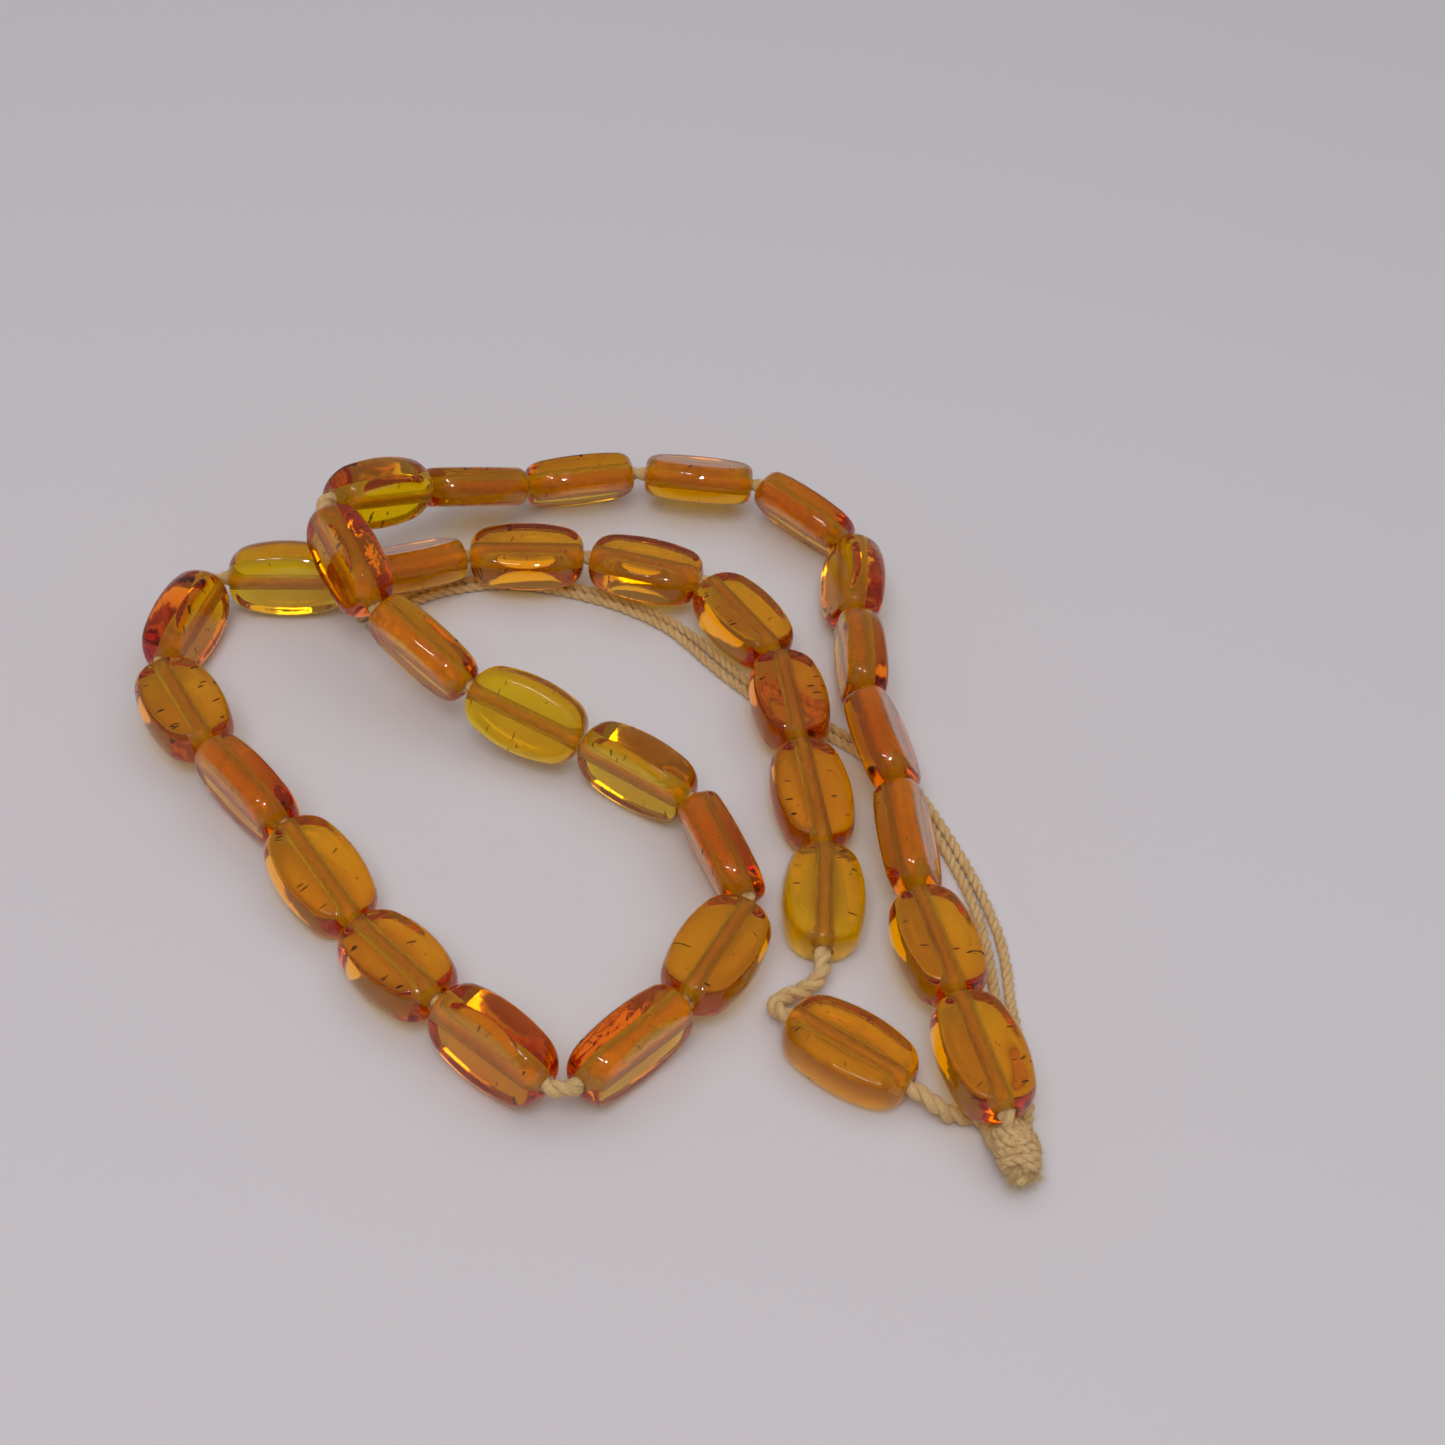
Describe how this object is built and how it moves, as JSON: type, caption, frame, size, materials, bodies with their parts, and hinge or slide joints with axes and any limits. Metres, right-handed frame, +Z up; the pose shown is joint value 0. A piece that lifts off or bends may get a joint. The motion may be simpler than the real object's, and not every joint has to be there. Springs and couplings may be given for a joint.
{
  "type": "misbaha prayer beads",
  "caption": "Loop of flat oval amber-coloured resin beads strung end to end on one twisted cord, tied in a knot with a doubled tail, lying as put down.",
  "frame": {"origin": "middle of the footprint of the beads, cord and knot, on the surface that they lie on, without the doubled tail", "axes": "+Z up from the surface, +Y away from the knot across the loop, +X to the side that the knot is on"},
  "size_m": [0.095, 0.097, 0.0157],
  "materials": {
    "amber_resin": "polished transparent amber-coloured resin, slightly softened face edges, small internal crazing",
    "cotton_cord": "matte two-ply twisted cotton cord, slightly fuzzy"
  },
  "bodies": {
    "cord": {"threading_cord": "cotton_cord", "tie_knot": "cotton_cord", "cut_end": "cotton_cord", "tail_strand_a": "cotton_cord", "tail_strand_b": "cotton_cord"},
    "bead_01": {"bead_01": "amber_resin"},
    "bead_02": {"bead_02": "amber_resin"},
    "bead_03": {"bead_03": "amber_resin"},
    "bead_04": {"bead_04": "amber_resin"},
    "bead_05": {"bead_05": "amber_resin"},
    "bead_06": {"bead_06": "amber_resin"},
    "bead_07": {"bead_07": "amber_resin"},
    "bead_08": {"bead_08": "amber_resin"},
    "bead_09": {"bead_09": "amber_resin"},
    "bead_10": {"bead_10": "amber_resin"},
    "bead_11": {"bead_11": "amber_resin"},
    "bead_12": {"bead_12": "amber_resin"},
    "bead_13": {"bead_13": "amber_resin"},
    "bead_14": {"bead_14": "amber_resin"},
    "bead_15": {"bead_15": "amber_resin"},
    "bead_16": {"bead_16": "amber_resin"},
    "bead_17": {"bead_17": "amber_resin"},
    "bead_18": {"bead_18": "amber_resin"},
    "bead_19": {"bead_19": "amber_resin"},
    "bead_20": {"bead_20": "amber_resin"},
    "bead_21": {"bead_21": "amber_resin"},
    "bead_22": {"bead_22": "amber_resin"},
    "bead_23": {"bead_23": "amber_resin"},
    "bead_24": {"bead_24": "amber_resin"},
    "bead_25": {"bead_25": "amber_resin"},
    "bead_26": {"bead_26": "amber_resin"},
    "bead_27": {"bead_27": "amber_resin"},
    "bead_28": {"bead_28": "amber_resin"},
    "bead_29": {"bead_29": "amber_resin"},
    "bead_30": {"bead_30": "amber_resin"},
    "bead_31": {"bead_31": "amber_resin"},
    "bead_32": {"bead_32": "amber_resin"},
    "bead_33": {"bead_33": "amber_resin"}
  },
  "joints": [
    {"name": "bead_01_spin", "type": "hinge", "parent": "cord", "child": "bead_01", "pos_m": [0.04158, -0.03665, 0.00455], "axis": [-0.3256, 0.9455, 0], "range_deg": [-8, 25]},
    {"name": "bead_02_spin", "type": "hinge", "parent": "cord", "child": "bead_02", "pos_m": [0.03737, -0.02407, 0.0044], "axis": [-0.3089, 0.9508, -0.0231], "continuous": true},
    {"name": "bead_03_spin", "type": "hinge", "parent": "cord", "child": "bead_03", "pos_m": [0.03414, -0.01111, 0.00485], "axis": [-0.1729, 0.9806, 0.0923], "continuous": true},
    {"name": "bead_04_spin", "type": "hinge", "parent": "cord", "child": "bead_04", "pos_m": [0.03114, 0.00187, 0.00545], "axis": [-0.2756, 0.9613, 0], "continuous": true},
    {"name": "bead_05_spin", "type": "hinge", "parent": "cord", "child": "bead_05", "pos_m": [0.02848, 0.01495, 0.00485], "axis": [-0.1213, 0.9883, -0.0923], "continuous": true},
    {"name": "bead_06_spin", "type": "hinge", "parent": "cord", "child": "bead_06", "pos_m": [0.0272, 0.0282, 0.00425], "axis": [-0.0698, 0.9976, 0], "continuous": true},
    {"name": "bead_07_spin", "type": "hinge", "parent": "cord", "child": "bead_07", "pos_m": [0.02097, 0.03991, 0.00425], "axis": [-0.788, 0.6157, 0], "continuous": true},
    {"name": "bead_08_spin", "type": "hinge", "parent": "cord", "child": "bead_08", "pos_m": [0.00789, 0.04417, 0.00425], "axis": [-0.9994, -0.0349, -0.0005], "continuous": true},
    {"name": "bead_09_spin", "type": "hinge", "parent": "cord", "child": "bead_09", "pos_m": [-0.00623, 0.04129, 0.00424], "axis": [-0.9336, -0.3584, 0], "continuous": true},
    {"name": "bead_10_spin", "type": "hinge", "parent": "cord", "child": "bead_10", "pos_m": [-0.01777, 0.03483, 0.00639], "axis": [-0.7439, -0.5812, 0.3297], "continuous": true},
    {"name": "bead_11_spin", "type": "hinge", "parent": "cord", "child": "bead_11", "pos_m": [-0.02708, 0.0263, 0.01067], "axis": [-0.644, -0.6906, 0.3293], "continuous": true},
    {"name": "bead_12_spin", "type": "hinge", "parent": "cord", "child": "bead_12", "pos_m": [-0.02763, 0.0139, 0.01105], "axis": [0.5794, -0.7689, -0.2705], "continuous": true},
    {"name": "bead_13_spin", "type": "hinge", "parent": "cord", "child": "bead_13", "pos_m": [-0.01805, 0.00515, 0.00773], "axis": [0.823, -0.5143, -0.2411], "continuous": true},
    {"name": "bead_14_spin", "type": "hinge", "parent": "cord", "child": "bead_14", "pos_m": [-0.00614, -0.00039, 0.00521], "axis": [0.9407, -0.3057, -0.147], "continuous": true},
    {"name": "bead_15_spin", "type": "hinge", "parent": "cord", "child": "bead_15", "pos_m": [0.00614, -0.00561, 0.00425], "axis": [0.8829, -0.4695, 0], "continuous": true},
    {"name": "bead_16_spin", "type": "hinge", "parent": "cord", "child": "bead_16", "pos_m": [0.01561, -0.01508, 0.00425], "axis": [0.4695, -0.8829, 0], "continuous": true},
    {"name": "bead_17_spin", "type": "hinge", "parent": "cord", "child": "bead_17", "pos_m": [0.01631, -0.02831, 0.00425], "axis": [-0.3746, -0.9272, 0], "continuous": true},
    {"name": "bead_18_spin", "type": "hinge", "parent": "cord", "child": "bead_18", "pos_m": [0.00951, -0.03986, 0.00425], "axis": [-0.6293, -0.7771, 0], "continuous": true},
    {"name": "bead_19_spin", "type": "hinge", "parent": "cord", "child": "bead_19", "pos_m": [-0.00281, -0.0417, 0.00425], "axis": [-0.829, 0.5592, 0], "continuous": true},
    {"name": "bead_20_spin", "type": "hinge", "parent": "cord", "child": "bead_20", "pos_m": [-0.01318, -0.03331, 0.00325], "axis": [-0.7108, 0.6864, -0.1538], "continuous": true},
    {"name": "bead_21_spin", "type": "hinge", "parent": "cord", "child": "bead_21", "pos_m": [-0.02258, -0.02375, 0.00325], "axis": [-0.6739, 0.7226, 0.1538], "continuous": true},
    {"name": "bead_22_spin", "type": "hinge", "parent": "cord", "child": "bead_22", "pos_m": [-0.03208, -0.01441, 0.00425], "axis": [-0.7431, 0.6691, 0], "continuous": true},
    {"name": "bead_23_spin", "type": "hinge", "parent": "cord", "child": "bead_23", "pos_m": [-0.04111, -0.00456, 0.00425], "axis": [-0.6018, 0.7986, 0], "continuous": true},
    {"name": "bead_24_spin", "type": "hinge", "parent": "cord", "child": "bead_24", "pos_m": [-0.04444, 0.00832, 0.00425], "axis": [0.1392, 0.9903, 0], "continuous": true},
    {"name": "bead_25_spin", "type": "hinge", "parent": "cord", "child": "bead_25", "pos_m": [-0.03554, 0.01754, 0.00425], "axis": [0.9848, 0.1736, 0], "continuous": true},
    {"name": "bead_26_spin", "type": "hinge", "parent": "cord", "child": "bead_26", "pos_m": [-0.02294, 0.02213, 0.004], "axis": [0.8654, 0.4996, -0.0384], "range_deg": [-3, 33]},
    {"name": "bead_27_spin", "type": "hinge", "parent": "cord", "child": "bead_27", "pos_m": [-0.01021, 0.02639, 0.004], "axis": [0.9918, 0.1218, 0.0388], "range_deg": [-20, 6]},
    {"name": "bead_28_spin", "type": "hinge", "parent": "cord", "child": "bead_28", "pos_m": [0.00348, 0.02627, 0.00426], "axis": [0.9903, -0.1392, 0], "range_deg": [-28, 10]},
    {"name": "bead_29_spin", "type": "hinge", "parent": "cord", "child": "bead_29", "pos_m": [0.01514, 0.0198, 0.0041], "axis": [0.6426, -0.7658, -0.0235], "continuous": true},
    {"name": "bead_30_spin", "type": "hinge", "parent": "cord", "child": "bead_30", "pos_m": [0.02113, 0.0078, 0.00395], "axis": [0.225, -0.9744, 0], "range_deg": [-6, 6]},
    {"name": "bead_31_spin", "type": "hinge", "parent": "cord", "child": "bead_31", "pos_m": [0.02434, -0.00512, 0.0031], "axis": [0.2566, -0.9576, -0.1308], "continuous": true},
    {"name": "bead_32_slide", "type": "slide", "parent": "cord", "child": "bead_32", "axis": [0.0349, -0.9994, 0], "range_m": [0, 0.002]},
    {"name": "bead_33_slide", "type": "slide", "parent": "cord", "child": "bead_33", "axis": [0.8746, -0.4848, 0], "range_m": [0, 0.0015]}
  ]
}
